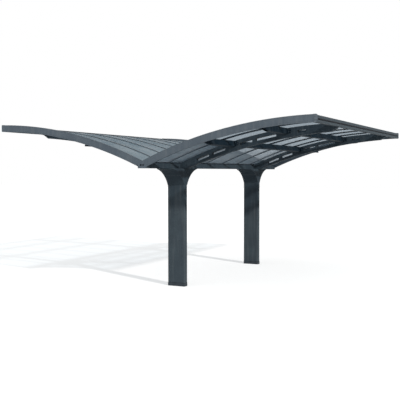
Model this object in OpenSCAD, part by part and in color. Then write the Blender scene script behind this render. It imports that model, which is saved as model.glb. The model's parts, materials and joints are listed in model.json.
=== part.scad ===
// Double carport: one valley beam on two broad posts, with a curved glazed roof wing on each side.
// X runs along the valley, Y across the wings, Z up. The origin is on the ground, midway
// between the posts. Every size is in millimetres.

/* [Roof] */
// Length of the roof along the valley
roof_length = 4950; // [3600:10:6000]
// Width of the roof across both wings
roof_width = 5100; // [4400:10:5800]
// Height of the roof skin at the valley centre line
valley_height = 1912; // [1860:1:2100]
// Height of the roof skin at the outer edges
eave_height = 2480; // [2350:5:2700]
// Rise of the roof curve above the straight line from valley to eave
roof_bow = 135; // [90:1:170]
// Number of roof panels along one wing
panels_per_wing = 8; // [6:1:10]

/* [Roof skin] */
// Thickness of the roof panels
panel_thickness = 6; // [4:1:10]
// Depth of the panels' top below the roof skin line
panel_drop = 34; // [30:1:36]
// Depth of the top of the glazing bars below the roof skin line
bar_drop = 28; // [20:1:28]
// Width of the cap of a glazing bar
bar_cap_width = 46; // [30:1:60]
// Width of the stem of a glazing bar
bar_stem_width = 10; // [6:1:16]

/* [Fascias and eaves] */
// Depth of the end fascias
fascia_depth = 102; // [100:1:105]
// Thickness of an end fascia along the valley
fascia_thickness = 30; // [24:1:45]
// Distance of the two shallow grooves in a fascia's face from its edges
fascia_groove_inset = 14; // [8:1:24]
// Width of those grooves
fascia_groove_width = 5; // [3:1:8]
// Depth of those grooves
fascia_groove_depth = 1.2; // [0.8:0.1:1.6]
// Depth of the top of the eave beams below the roof skin line
eave_beam_drop = 10; // [6:1:14]
// Width of an eave beam
eave_width = 60; // [50:1:80]
// Height of the upper band on the outside of an eave beam
eave_band_height = 40; // [30:1:44]
// Height of the groove below that band
eave_groove_height = 10; // [6:1:14]
// Depth of that groove
eave_groove_depth = 10; // [5:1:14]
// Height of the slope from the groove out to the lower lip
eave_slope_height = 22; // [10:1:26]
// Width of a corner cap across the wings
corner_cap_width = 40; // [34:1:50]
// Radius of the outer edges of a corner cap
corner_cap_radius = 12; // [6:1:24]
// How far corner caps and gutter caps stand proud
cap_proud = 3; // [2:0.5:4]

/* [Purlins and arms] */
// Depth of the top of purlins and upper chords below the roof skin line
frame_drop = 50; // [46:1:50]
// Depth of the upper chord of an arm
chord_depth = 52; // [40:1:60]
// Depth of a purlin
purlin_depth = 82; // [56:1:84]
// Width of a purlin
purlin_width = 50; // [35:1:60]
// Length of the slanted cut under each end of a purlin
purlin_end_cut = 210; // [150:5:260]
// Distance of the inner purlin from the valley centre line
inner_purlin_y = 945; // [850:5:1000]
// Distance of the outer purlin from the valley centre line
outer_purlin_y = 1775; // [1700:5:1850]
// Width of an arm along the valley
arm_width = 80; // [40:1:88]
// Clear gap between the upper and the lower chord of an arm
chord_gap = 37; // [26:1:44]
// Depth of the lower chord of an arm at its deepest place
lower_chord_depth = 51; // [40:1:60]
// Distance of that place from the valley centre line
arm_deep_y = 1200; // [1000:10:1400]
// Radius of the underside of an arm, which is flatter than the roof
arm_underside_radius = 7800; // [7000:50:9000]
// Length of the solid foot of an arm beside the gutter
arm_foot_length = 40; // [30:1:120]
// Reach of the closed arm root from the valley centre line
arm_root_reach = 345; // [260:5:400]
// Length of the closed stretch of an arm about the inner purlin
inner_gusset_length = 230; // [160:5:300]
// Reach of the closed stretch about the outer purlin towards the valley
outer_gusset_inward = 142; // [100:2:200]
// Reach of the closed stretch about the outer purlin towards the eave
outer_gusset_outward = 176; // [100:2:200]
// Distance of the inner spacer from the valley centre line
inner_spacer_y = 585; // [500:5:660]
// Distance of the outer spacer from the valley centre line
outer_spacer_y = 1285; // [1200:5:1450]
// Length of a spacer
spacer_length = 44; // [30:1:80]
// Length of the closed arm tip under the eave
arm_tip_length = 470; // [300:5:520]
// Length of the slanted cut at the arm tip
tip_cut_length = 85; // [76:1:96]
// Height of the slanted cut at the arm tip
tip_cut_height = 56; // [52:1:62]
// Distance of the lower chord's blunt end from the outer edge of the roof
tip_land = 66; // [62:1:74]
// Distance of the arm's nose from the outer edge of the roof
tip_nose = 12; // [8:1:20]

/* [Valley gutter] */
// Width of the valley gutter
gutter_width = 139; // [110:1:160]
// Depth of the underside of the valley gutter below the roof skin at the valley
gutter_drop = 106; // [104:1:130]
// Height of the sides of the valley gutter
gutter_depth = 78; // [66:1:78]
// Width of the inward lip along each top edge of the gutter
gutter_lip = 22; // [18:1:26]
// Width of the rail that stands on each lip under the panels
rail_width = 12; // [8:1:14]
// Height of the cap over each end of the gutter
gutter_cap_height = 64; // [50:1:80]

/* [Posts] */
// Distance from each end of the roof to the middle of its post
post_inset = 1020; // [700:10:1400]
// Size of a post along the valley
post_thickness = 88; // [70:1:120]
// Size of a post across the wings
post_width = 292; // [250:1:320]
// Radius of the upright edges of a post
post_edge_radius = 10; // [4:1:14]
// Width of the band along each edge of a post's broad faces
post_band_width = 42; // [24:1:60]
// Depth of the inset face between those bands
post_inset_depth = 3; // [1:0.5:5]
// Reach of a flare along the gutter
flare_reach = 325; // [240:5:350]
// Drop of a flare down the post
flare_drop = 246; // [180:1:280]
// Radius of the curved face of a flare
flare_radius = 440; // [360:5:600]
// Thickness of the head plate on a post
head_plate_thickness = 8; // [5:1:12]

/* [Post base] */
// Thickness of the base plate
base_plate_thickness = 10; // [6:1:16]
// Diameter of the anchor holes in the base plate
anchor_hole_diameter = 14; // [10:0.5:18]
// Distance between anchor holes across the wings
anchor_spacing_across = 200; // [140:5:220]
// Distance between anchor holes along the valley
anchor_spacing_along = 44; // [36:1:48]
// Height of the trim around the post base
base_trim_height = 50; // [30:1:80]
// Thickness of that trim
base_trim_thickness = 3; // [2:0.5:5]

/* [Sheet metal] */
// Wall thickness of the hollow profiles
wall = 3; // [2:0.5:4]
// Clearance left where parts seat against each other
seat = 0.3; // [0.2:0.1:0.5]

/* [Hidden] */

// Which end (-1 front, 1 rear) and which wing (-1 right, 1 left) a piece belongs to
FRONT = -1;
REAR = 1;
RIGHT = -1;
LEFT = 1;

// Roof curve: a circular arc through the valley line and the eave line
half_length = roof_length / 2;
half_width = roof_width / 2;
roof_rise = eave_height - valley_height;
chord = norm([half_width, roof_rise]);
roof_radius = (chord * chord / 4 + roof_bow * roof_bow) / (2 * roof_bow);
bow_centre_drop = roof_radius - roof_bow;
arc_y = half_width / 2 + bow_centre_drop * roof_rise / chord;
arc_z = (valley_height + eave_height) / 2 - bow_centre_drop * half_width / chord;
arc_facets = 720;

// Levels below the roof skin line
panel_top = panel_drop;
panel_bottom = panel_drop + panel_thickness;
chord_bottom = frame_drop + chord_depth;
purlin_bottom = frame_drop + purlin_depth;
arm_gap_bottom = chord_bottom + chord_gap;
arm_bottom = arm_gap_bottom + lower_chord_depth;
below_arm = arm_bottom + lower_chord_depth;

// Places along and across the roof
post_x = half_length - post_inset;
frame_half_length = half_length - fascia_thickness;
panel_pitch = 2 * frame_half_length / panels_per_wing;
web_x = half_length - wall;
gutter_side = gutter_width / 2;
gutter_underside = valley_height - gutter_drop;
gutter_top = gutter_underside + gutter_depth;
drip_edge = gutter_side - gutter_lip - wall;
arm_foot_end = gutter_side + arm_foot_length;
eave_inner = half_width - eave_width;
eave_top = eave_height - eave_beam_drop;
eave_underside = eave_height - fascia_depth;
corner_cap_inner = half_width - corner_cap_width;
purlin_room = purlin_width / 2 + 2 * seat;
head_plate_underside = gutter_underside - head_plate_thickness;
fine = 96;

// Angle of the roof normal, from the vertical, where the roof skin is y from the valley
function skin_angle(y) = asin((y - arc_y) / roof_radius);

// ---- Building blocks ----

// Extrudes a cross-section drawn as (Y, Z) from x0 to x1
module along_valley(x0, x1) {
    translate([x0, 0, 0])
        rotate([90, 0, 90])
            linear_extrude(x1 - x0)
                children();
}

// Puts a piece drawn for the rear left quarter in the given quarter
module place(end, side) {
    scale_x = end == FRONT ? 1 : 0;
    scale_y = side == RIGHT ? 1 : 0;
    mirror([scale_x, 0, 0])
        mirror([0, scale_y, 0])
            children();
}

// Wedge from the arc's centre that spans the roof from y0 to y1
module wedge(y0, y1) {
    reach = 1.2 * roof_radius;
    a0 = skin_angle(y0);
    a1 = skin_angle(y1);
    polygon([[arc_y, arc_z],
             [arc_y + reach * sin(a0), arc_z + reach * cos(a0)],
             [arc_y + reach * sin(a1), arc_z + reach * cos(a1)]]);
}

// Ring under the roof skin between two levels, all the way round
module skin_ring(level_top, level_bottom) {
    translate([arc_y, arc_z])
        difference() {
            circle(roof_radius - level_top, $fn = arc_facets);
            circle(roof_radius - level_bottom, $fn = arc_facets);
        }
}

// Band under the roof skin between two levels, cut square to the curve at y0 and y1
module skin_band(level_top, level_bottom, y0, y1) {
    intersection() {
        skin_ring(level_top, level_bottom);
        wedge(y0, y1);
    }
}

// Band under the roof skin between two levels, cut upright at y0 and y1
module upright_band(level_top, level_bottom, y0, y1) {
    intersection() {
        skin_ring(level_top, level_bottom);
        translate([y0, gutter_underside])
            square([y1 - y0, eave_height]);
    }
}

// Rectangle about the origin with round corners
module rounded_box(size_x, size_y, radius) {
    square([size_x - 2 * radius, size_y], center = true);
    square([size_x, size_y - 2 * radius], center = true);
    for (sx = [-1, 1], sy = [-1, 1])
        translate([sx * (size_x / 2 - radius), sy * (size_y / 2 - radius)])
            circle(radius, $fn = fine);
}

// ---- Posts ----

module base_plate(end) {
    color("dimgray")
        place(end, LEFT)
            translate([post_x, 0, 0])
                difference() {
                    linear_extrude(base_plate_thickness)
                        rounded_box(post_thickness, post_width, post_edge_radius);
                    for (sx = [-1, 1], sy = [-1, 1])
                        translate([sx * anchor_spacing_along / 2, sy * anchor_spacing_across / 2, -1])
                            cylinder(h = base_plate_thickness + 2, d = anchor_hole_diameter, $fn = fine);
                }
}

module base_trim(end) {
    inner_x = post_thickness + 2 * seat;
    inner_y = post_width + 2 * seat;
    outer_x = inner_x + 2 * base_trim_thickness;
    outer_y = inner_y + 2 * base_trim_thickness;
    inner_radius = post_edge_radius + seat;
    outer_radius = inner_radius + base_trim_thickness;
    color("darkslategray")
        place(end, LEFT)
            translate([post_x, 0, 0])
                linear_extrude(base_trim_height)
                    difference() {
                        rounded_box(outer_x, outer_y, outer_radius);
                        rounded_box(inner_x, inner_y, inner_radius);
                    }
}

// Cross-section of a post: a hollow box whose broad faces are set in between their edge bands
module post_section() {
    cavity_x = post_thickness - 2 * (wall + post_inset_depth);
    cavity_y = post_width - 2 * wall;
    inset_width = post_width - 2 * post_band_width;
    difference() {
        rounded_box(post_thickness, post_width, post_edge_radius);
        square([cavity_x, cavity_y], center = true);
        for (sx = [-1, 1])
            translate([sx * (post_thickness - post_inset_depth), 0])
                square([post_thickness, inset_width], center = true);
    }
}

module post(end) {
    color("darkslategray")
        place(end, LEFT)
            translate([post_x, 0, base_plate_thickness])
                linear_extrude(head_plate_underside - base_plate_thickness)
                    post_section();
}

// Outline of one flare in (X, Z), with its corner under the head plate and beside the post
module flare_outline(reach, drop, radius) {
    span = norm([reach, drop]);
    centre_out = sqrt(radius * radius - span * span / 4);
    difference() {
        polygon([[0, 0], [reach, 0], [0, -drop]]);
        translate([reach / 2 + centre_out * drop / span, -drop / 2 - centre_out * reach / span])
            circle(radius, $fn = 4 * fine);
    }
}

module flares(end) {
    color("darkslategray")
        place(end, LEFT)
            for (sx = [-1, 1])
                translate([post_x + sx * post_thickness / 2, 0, head_plate_underside])
                    mirror([sx < 0 ? 1 : 0, 0, 0])
                        rotate([90, 0, 0])
                            difference() {
                                linear_extrude(post_width, center = true)
                                    flare_outline(flare_reach, flare_drop, flare_radius);
                                linear_extrude(post_width - 2 * wall, center = true)
                                    translate([wall, -wall])
                                        flare_outline(flare_reach - 4 * wall, flare_drop - 4 * wall,
                                                      flare_radius);
                            }
}

module head_plate(end) {
    reach = post_thickness / 2 + flare_reach;
    color("darkslategray")
        place(end, LEFT)
            translate([post_x - reach, -post_width / 2, head_plate_underside])
                cube([2 * reach, post_width, head_plate_thickness]);
}

// ---- Valley gutter ----

// Rectangle that stands on the underside of the gutter
module gutter_outline(width, height) {
    translate([-width / 2, gutter_underside])
        square([width, height]);
}

module valley_gutter() {
    color("darkslategray")
        along_valley(-web_x, web_x)
            difference() {
                gutter_outline(gutter_width, gutter_depth);
                translate([0, wall])
                    gutter_outline(gutter_width - 2 * wall, gutter_depth - 2 * wall);
                translate([0, wall])
                    gutter_outline(gutter_width - 2 * gutter_lip, gutter_depth);
            }
}

// Rail on one lip of the gutter, which carries the lower edges of the panels
module valley_rail(side) {
    rail_y = gutter_side - (gutter_lip + rail_width) / 2;
    color("darkslategray")
        place(REAR, side)
            along_valley(-web_x, web_x)
                intersection() {
                    skin_ring(panel_bottom, fascia_depth);
                    translate([rail_y, gutter_top])
                        square([rail_width, fascia_depth]);
                }
}

// Cap over the end of the gutter, outside the fascias' webs
module gutter_cap(end) {
    color("darkslategray")
        place(end, LEFT)
            along_valley(half_length, half_length + cap_proud)
                gutter_outline(gutter_width, gutter_cap_height);
}

// ---- Fascias and eaves ----

// End fascia: a curved channel with its open side towards the roof panels, and a lip that comes
// down onto them. The webs meet in front of the gutter, and the lower flange stops beside it
module fascia(end, side) {
    lower_flange = fascia_depth - wall;
    lower_groove = fascia_depth - fascia_groove_inset;
    color("slategray")
        place(end, side) {
            difference() {
                along_valley(web_x, half_length)
                    upright_band(0, fascia_depth, seat, corner_cap_inner);
                along_valley(half_length - fascia_groove_depth, half_length + 1) {
                    skin_ring(fascia_groove_inset, fascia_groove_inset + fascia_groove_width);
                    skin_ring(lower_groove - fascia_groove_width, lower_groove);
                }
            }
            along_valley(frame_half_length, web_x) {
                upright_band(0, wall, seat, corner_cap_inner);
                upright_band(lower_flange, fascia_depth, gutter_side + seat, corner_cap_inner);
            }
            along_valley(frame_half_length, frame_half_length + wall)
                upright_band(wall, panel_top, drip_edge, corner_cap_inner);
        }
}

// Outline of a corner cap in (Y, Z), round along its outer edges
module corner_cap_outline() {
    height = fascia_depth + cap_proud;
    intersection() {
        translate([half_width + cap_proud - corner_cap_width, eave_height - fascia_depth / 2])
            rounded_box(2 * corner_cap_width, height, corner_cap_radius);
        translate([corner_cap_inner, eave_height - height])
            square([2 * corner_cap_width, 2 * height]);
    }
}

module corner_caps(side) {
    color("slategray")
        for (end = [FRONT, REAR])
            place(end, side)
                along_valley(frame_half_length, half_length + cap_proud)
                    corner_cap_outline();
}

// Cross-section of an eave beam: an upper band, a groove, and a lip that slopes out below it
module eave_section() {
    groove_top = eave_top - eave_band_height;
    groove_bottom = groove_top - eave_groove_height;
    groove_y = half_width - eave_groove_depth;
    cavity_outer = groove_y - wall;
    difference() {
        polygon([[eave_inner, eave_underside],
                 [eave_inner, eave_top],
                 [half_width, eave_top],
                 [half_width, groove_top],
                 [groove_y, groove_top],
                 [groove_y, groove_bottom],
                 [half_width, groove_bottom - eave_slope_height],
                 [half_width, eave_underside]]);
        translate([eave_inner + wall, eave_underside + wall])
            square([cavity_outer - eave_inner - wall, eave_top - eave_underside - 2 * wall]);
    }
}

module eave_beam(side) {
    color("slategray")
        place(REAR, side)
            along_valley(-frame_half_length, frame_half_length)
                eave_section();
}

// ---- Purlins ----

// Cross-section of a purlin square to the roof skin at y
module purlin_section(y) {
    translate([arc_y, arc_z])
        rotate(-skin_angle(y))
            translate([-purlin_width / 2, roof_radius - purlin_bottom])
                difference() {
                    square([purlin_width, purlin_depth]);
                    translate([wall, wall])
                        square([purlin_width - 2 * wall, purlin_depth - 2 * wall]);
                }
}

// Slanted cut under the rear end of a purlin, from the fascia's underside to the purlin's
module purlin_end_cut_away(y) {
    outer_y = y + purlin_width / 2;
    fascia_underside = arc_z + sqrt(pow(roof_radius - fascia_depth, 2) - pow(outer_y - arc_y, 2));
    drop = purlin_bottom - fascia_depth;
    translate([frame_half_length, y + purlin_width, fascia_underside])
        rotate([90, 0, 0])
            linear_extrude(2 * purlin_width)
                polygon([[-2 * purlin_end_cut, -2 * drop],
                         [purlin_end_cut, -2 * drop],
                         [purlin_end_cut, drop]]);
}

// A purlin reaches from the one end fascia to the other
module purlin(side, y) {
    color("darkslategray")
        place(REAR, side)
            difference() {
                along_valley(-frame_half_length, frame_half_length)
                    purlin_section(y);
                for (end = [FRONT, REAR])
                    place(end, LEFT)
                        purlin_end_cut_away(y);
            }
}

// ---- Arms ----

// Extrudes an arm's cross-section over the width of the arm
module arm_stretch() {
    along_valley(post_x - arm_width / 2, post_x + arm_width / 2)
        children();
}

// Room below an arm: its underside is an arc that is tangent to the roof's curve at the deep place
module under_arm() {
    deep_angle = skin_angle(arm_deep_y);
    centre_shift = roof_radius - arm_bottom - arm_underside_radius;
    translate([arc_y + centre_shift * sin(deep_angle), arc_z + centre_shift * cos(deep_angle)])
        circle(arm_underside_radius, $fn = arc_facets);
}

// Slanted cut from the underside of the arm up to the outer edge of the eave beam's underside
module tip_cut() {
    polygon([[half_width - 3 * tip_cut_length, eave_underside - 3 * tip_cut_height],
             [half_width + tip_cut_length, eave_underside - 3 * tip_cut_height],
             [half_width + tip_cut_length, eave_underside + tip_cut_height]]);
}

// Room that the eave beam takes
module eave_room() {
    translate([eave_inner, eave_underside])
        square([2 * eave_width, eave_height]);
}

module lower_chord(end, side) {
    color("darkslategray")
        place(end, side)
            arm_stretch()
                difference() {
                    upright_band(arm_gap_bottom, below_arm, arm_foot_end, half_width - tip_land);
                    under_arm();
                    tip_cut();
                }
}

// The upper chord lies between the purlins, so it is three lengths
module upper_chord(end, side) {
    color("darkslategray")
        place(end, side)
            arm_stretch() {
                intersection() {
                    skin_band(frame_drop, chord_bottom, 0, inner_purlin_y - purlin_room);
                    upright_band(frame_drop, chord_bottom, gutter_side, inner_purlin_y);
                }
                skin_band(frame_drop, chord_bottom, inner_purlin_y + purlin_room,
                          outer_purlin_y - purlin_room);
                skin_band(frame_drop, chord_bottom, outer_purlin_y + purlin_room,
                          eave_inner - 2 * seat);
            }
}

// Stretch of the given length about y
function stretch_at(y, length) = [y - length / 2, y + length / 2];

// Closed stretches that join the two chords: root, about each purlin, tip, and two small spacers.
// Each purlin lies in a seat cut into its stretch. The root ends in a foot as deep as the arm,
// which stands on the head plate beside the gutter, and the tip carries the eave beam
module spacers(end, side) {
    stretches = [[gutter_side, arm_root_reach],
                 stretch_at(inner_spacer_y, spacer_length),
                 stretch_at(inner_purlin_y, inner_gusset_length),
                 stretch_at(outer_spacer_y, spacer_length),
                 [outer_purlin_y - outer_gusset_inward, outer_purlin_y + outer_gusset_outward],
                 [half_width - arm_tip_length, eave_inner]];
    color("darkslategray")
        place(end, side)
            arm_stretch()
                difference() {
                    union() {
                        upright_band(chord_bottom, below_arm, gutter_side, arm_foot_end);
                        for (s = stretches)
                            upright_band(chord_bottom, arm_gap_bottom, s[0], s[1]);
                        upright_band(frame_drop, arm_gap_bottom, eave_inner, half_width - tip_nose);
                    }
                    for (y = [inner_purlin_y, outer_purlin_y])
                        skin_band(frame_drop, purlin_bottom, y - purlin_room, y + purlin_room);
                    under_arm();
                    tip_cut();
                    eave_room();
                }
}

// ---- Roof skin ----

module glazing_bar(x, side) {
    place(REAR, side) {
        along_valley(x - bar_cap_width / 2, x + bar_cap_width / 2)
            upright_band(bar_drop, panel_top, drip_edge, eave_inner);
        along_valley(x - bar_stem_width / 2, x + bar_stem_width / 2)
            upright_band(panel_top, frame_drop, gutter_side, eave_inner);
    }
}

module glazing_bars(side) {
    color("slategray")
        for (i = [1 : panels_per_wing - 1])
            glazing_bar(-frame_half_length + i * panel_pitch, side);
}

// The first and the last panel reach into the fascias' channels
module roof_panels(side) {
    edge = bar_stem_width / 2 + seat;
    last = panels_per_wing - 1;
    color("lightsteelblue", 0.6)
        for (i = [0 : last]) {
            x0 = i == 0 ? -web_x + seat : -frame_half_length + i * panel_pitch + edge;
            x1 = i == last ? web_x - seat : -frame_half_length + (i + 1) * panel_pitch - edge;
            place(REAR, side)
                along_valley(x0, x1)
                    upright_band(panel_top, panel_bottom, drip_edge, eave_inner);
        }
}

base_plate(FRONT);  // front_base_plate
base_plate(REAR);  // rear_base_plate
base_trim(FRONT);  // front_base_trim
base_trim(REAR);  // rear_base_trim
post(FRONT);  // front_post
post(REAR);  // rear_post
flares(FRONT);  // front_flares
flares(REAR);  // rear_flares
head_plate(FRONT);  // front_head_plate
head_plate(REAR);  // rear_head_plate
valley_gutter();
valley_rail(LEFT);  // left_valley_rail
valley_rail(RIGHT);  // right_valley_rail
gutter_cap(FRONT);  // front_gutter_cap
gutter_cap(REAR);  // rear_gutter_cap
fascia(FRONT, LEFT);  // front_left_fascia
fascia(FRONT, RIGHT);  // front_right_fascia
fascia(REAR, LEFT);  // rear_left_fascia
fascia(REAR, RIGHT);  // rear_right_fascia
eave_beam(LEFT);  // left_eave_beam
eave_beam(RIGHT);  // right_eave_beam
corner_caps(LEFT);  // left_corner_caps
corner_caps(RIGHT);  // right_corner_caps
purlin(LEFT, inner_purlin_y);  // left_inner_purlin
purlin(LEFT, outer_purlin_y);  // left_outer_purlin
purlin(RIGHT, inner_purlin_y);  // right_inner_purlin
purlin(RIGHT, outer_purlin_y);  // right_outer_purlin
lower_chord(FRONT, LEFT);  // front_left_lower_chord
lower_chord(FRONT, RIGHT);  // front_right_lower_chord
lower_chord(REAR, LEFT);  // rear_left_lower_chord
lower_chord(REAR, RIGHT);  // rear_right_lower_chord
upper_chord(FRONT, LEFT);  // front_left_upper_chord
upper_chord(FRONT, RIGHT);  // front_right_upper_chord
upper_chord(REAR, LEFT);  // rear_left_upper_chord
upper_chord(REAR, RIGHT);  // rear_right_upper_chord
spacers(FRONT, LEFT);  // front_left_spacers
spacers(FRONT, RIGHT);  // front_right_spacers
spacers(REAR, LEFT);  // rear_left_spacers
spacers(REAR, RIGHT);  // rear_right_spacers
glazing_bars(LEFT);  // left_glazing_bars
glazing_bars(RIGHT);  // right_glazing_bars
roof_panels(LEFT);  // left_roof_panels
roof_panels(RIGHT);  // right_roof_panels
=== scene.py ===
# %% [markdown]
# # A double carport with two curved glazed wings
# The structure comes from a CAD model in which every part is an object of its own, already at its
# real size and place. This lesson dresses it: first the camera, the light and the floor, then one
# finish at a time, and last the small things that a drawing leaves out, such as screws, seals and
# folded rims. Everything is in metres. X runs along the valley between the wings, Y across them.

# %% Load the CAD parts
import json
import math

import bpy
import numpy as np
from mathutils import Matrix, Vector


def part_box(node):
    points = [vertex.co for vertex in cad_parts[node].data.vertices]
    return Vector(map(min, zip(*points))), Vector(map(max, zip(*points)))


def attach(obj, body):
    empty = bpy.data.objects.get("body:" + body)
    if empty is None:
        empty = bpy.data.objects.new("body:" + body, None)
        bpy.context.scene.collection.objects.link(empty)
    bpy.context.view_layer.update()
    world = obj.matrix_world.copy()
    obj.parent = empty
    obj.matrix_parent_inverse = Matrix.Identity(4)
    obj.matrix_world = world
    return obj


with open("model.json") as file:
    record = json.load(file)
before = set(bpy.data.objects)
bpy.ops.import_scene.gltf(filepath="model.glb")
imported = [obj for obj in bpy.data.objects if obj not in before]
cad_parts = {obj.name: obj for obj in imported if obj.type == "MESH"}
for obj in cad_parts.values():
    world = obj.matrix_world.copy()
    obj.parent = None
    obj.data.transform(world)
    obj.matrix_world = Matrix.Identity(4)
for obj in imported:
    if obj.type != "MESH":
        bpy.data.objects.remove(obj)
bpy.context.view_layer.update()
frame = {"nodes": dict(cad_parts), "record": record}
nodes = frame["nodes"]
print("CAD parts:", len(nodes))

# %% [markdown]
# ## The camera
# It stands a little above eye height in front of one end of the roof, off to one side, and looks
# slightly down through a short telephoto lens. A long lens from further away keeps upright lines
# upright, as catalogue pictures of buildings do. A small sideways shift frames the roof without
# turning the camera.

# %% Camera
LENS = 64.01
SENSOR_WIDTH = 36.0
CAMERA_PLACE = (-11.0245, -5.3137, 1.758)
CAMERA_HEADING = math.radians(25.617)
CAMERA_DIP = math.radians(2.278)
CAMERA_SHIFT = -0.05
CAMERA_REACH = 300.0

camera_data = bpy.data.cameras.new("camera")
camera_data.sensor_width = SENSOR_WIDTH
camera_data.lens = LENS
camera_data.shift_x = CAMERA_SHIFT
camera_data.clip_end = CAMERA_REACH
camera = bpy.data.objects.new("camera", camera_data)
bpy.context.collection.objects.link(camera)
looks_along = Vector((math.cos(CAMERA_HEADING) * math.cos(CAMERA_DIP),
                      math.sin(CAMERA_HEADING) * math.cos(CAMERA_DIP),
                      -math.sin(CAMERA_DIP)))
camera.location = CAMERA_PLACE
camera.rotation_euler = looks_along.to_track_quat("-Z", "Y").to_euler()
bpy.context.scene.camera = camera
bpy.context.scene.view_settings.view_transform = "Standard"
print("The camera looks along", [round(v, 3) for v in looks_along])

# %% [markdown]
# ## Putting nodes together
# A finish is a small network of nodes. Placing each node by hand takes many lines, so these helpers
# do it: `put` adds one node and fills or joins its inputs, and the others are short names for the
# nodes that come up most.

# %% Node helpers
def fill(tree, sockets, values):
    """Sets each named socket to a value, or joins it to another node's output."""
    for name, value in (values or {}).items():
        if isinstance(value, bpy.types.NodeSocket):
            tree.links.new(value, sockets[name])
        else:
            sockets[name].default_value = value


def put(tree, kind, values=None, **settings):
    """Adds a shader node of one kind, with its settings and its inputs filled."""
    node = tree.nodes.new("ShaderNode" + kind)
    for name, setting in settings.items():
        setattr(node, name, setting)
    fill(tree, node.inputs, values)
    return node


def calc(tree, operation, *values):
    """One step of arithmetic on one, two or three values."""
    return put(tree, "Math", dict(enumerate(values)), operation=operation).outputs[0]


def agreement(tree, first, second):
    """The dot product of two directions: 1 where they are the same, -1 where they are opposite."""
    return put(tree, "VectorMath", {0: first, 1: second}, operation="DOT_PRODUCT").outputs["Value"]


def ramp(tree, value, start, end, low=0.0, high=1.0):
    """Runs smoothly from low to high as value goes from start to end."""
    inputs = {0: value, 1: start, 2: end, 3: low, 4: high}
    return put(tree, "MapRange", inputs, interpolation_type="SMOOTHSTEP").outputs[0]


def blend(tree, amount, first, second):
    """The first colour where amount is 0, and the second where it is 1."""
    inputs = {0: amount, 6: first, 7: second}
    return put(tree, "Mix", inputs, data_type="RGBA").outputs[2]


print("Node helpers are ready")

# %% [markdown]
# ## Light
# A low sun on the right throws the roof's shadow bands across the posts. It is only one lamp of the
# Sun kind, because what matters is one direction for the whole roof. The sky fills in the rest from
# all sides. The camera sees the sky as plain white, and so do reflections and the clear sheets,
# while the light that falls on the roof comes from a softer, slightly blue sky, which is brighter
# in front of the roof than behind it. That difference gives each side of a post its own shade.

# %% Sun
SUN_TRAVEL = Vector((0.42, 0.91, -0.4914))
SUN_STRENGTH = 3.3
SUN_ANGLE = math.radians(2.0)
SUN_COLOUR = (1.0, 0.985, 0.96)

sun_data = bpy.data.lights.new("sun", "SUN")
sun_data.energy = SUN_STRENGTH
sun_data.angle = SUN_ANGLE
sun_data.color = SUN_COLOUR
sun = bpy.data.objects.new("sun", sun_data)
bpy.context.collection.objects.link(sun)
sun.rotation_euler = SUN_TRAVEL.to_track_quat("-Z", "Y").to_euler()
sun_height = math.degrees(math.asin(-SUN_TRAVEL.normalized().z))
print("Sun at", round(sun_height, 1), "degrees above the ground")

# %% Sky
SKY_FRONT = Vector((-0.92, 0.22, 0.32))
SKY_TURN = (-0.6, 1.0)
SKY_DIM, SKY_BRIGHT = 0.10, 1.25
SKY_COLOUR = (0.92, 0.97, 1.0, 1.0)
WHITE = (1.0, 1.0, 1.0, 1.0)


def shows_backdrop(tree):
    """1 for a ray from the camera, from a reflection or through a clear surface, otherwise 0."""
    ray = put(tree, "LightPath").outputs
    seen = calc(tree, "MAXIMUM", ray["Is Camera Ray"], ray["Is Glossy Ray"])
    return calc(tree, "MAXIMUM", seen, ray["Is Transmission Ray"])


world = bpy.data.worlds.new("sky")
bpy.context.scene.world = world
world.use_nodes = True
sky = world.node_tree
sky_light = sky.nodes["Background"]
towards_front = agreement(sky, put(sky, "TexCoord").outputs["Generated"], SKY_FRONT)
sky_strength = ramp(sky, towards_front, *SKY_TURN, SKY_DIM, SKY_BRIGHT)
fill(sky, sky_light.inputs, {"Color": SKY_COLOUR, "Strength": sky_strength})
sky_seen = put(sky, "Background", {"Color": WHITE, "Strength": 1.0})
sky_mix = put(sky, "MixShader",
              {0: shows_backdrop(sky), 1: sky_light.outputs[0], 2: sky_seen.outputs[0]})
fill(sky, sky.nodes["World Output"].inputs, {"Surface": sky_mix.outputs[0]})
print("Sky strength from", SKY_DIM, "behind the roof to", SKY_BRIGHT, "in front of it")

# %% [markdown]
# ## The floor
# The carport stands on a plain pale floor that runs out into the white background, so the floor has
# no visible edge. Its shadow still has to show, faintly. The floor therefore glows a little where
# the camera looks at it, and the rest of its brightness is real light that the roof can block.
# Light that bounces off it sees a bluish mid grey, so that the underside of the roof stays dark.

# %% Floor
FLOOR_HALF = 60.0
FLOOR_GLOW = 0.545
FLOOR_WHITE = (0.545, 0.54, 0.535, 1.0)
FLOOR_BOUNCE = (0.315, 0.34, 0.37, 1.0)

floor_mesh = bpy.data.meshes.new("floor")
floor_corners = np.array([[-1, -1, 0], [1, -1, 0], [1, 1, 0], [-1, 1, 0]]) * FLOOR_HALF
floor_mesh.from_pydata(floor_corners.tolist(), [], [(0, 1, 2, 3)])
floor = bpy.data.objects.new("floor", floor_mesh)
bpy.context.collection.objects.link(floor)

floor_paint = bpy.data.materials.new("floor")
floor_paint.use_nodes = True
tree = floor_paint.node_tree
tree.nodes.remove(tree.nodes["Principled BSDF"])
glow = put(tree, "Emission", {"Color": WHITE, "Strength": FLOOR_GLOW})
matt = put(tree, "BsdfDiffuse", {"Color": FLOOR_WHITE})
bounce = put(tree, "BsdfDiffuse", {"Color": FLOOR_BOUNCE})
shown = put(tree, "AddShader", {0: glow.outputs[0], 1: matt.outputs[0]})
floor_mix = put(tree, "MixShader",
                {0: shows_backdrop(tree), 1: bounce.outputs[0], 2: shown.outputs[0]})
fill(tree, tree.nodes["Material Output"].inputs, {"Surface": floor_mix.outputs[0]})
floor_mesh.materials.append(floor_paint)
print("Floor laid,", 2 * FLOOR_HALF, "m square")

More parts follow.
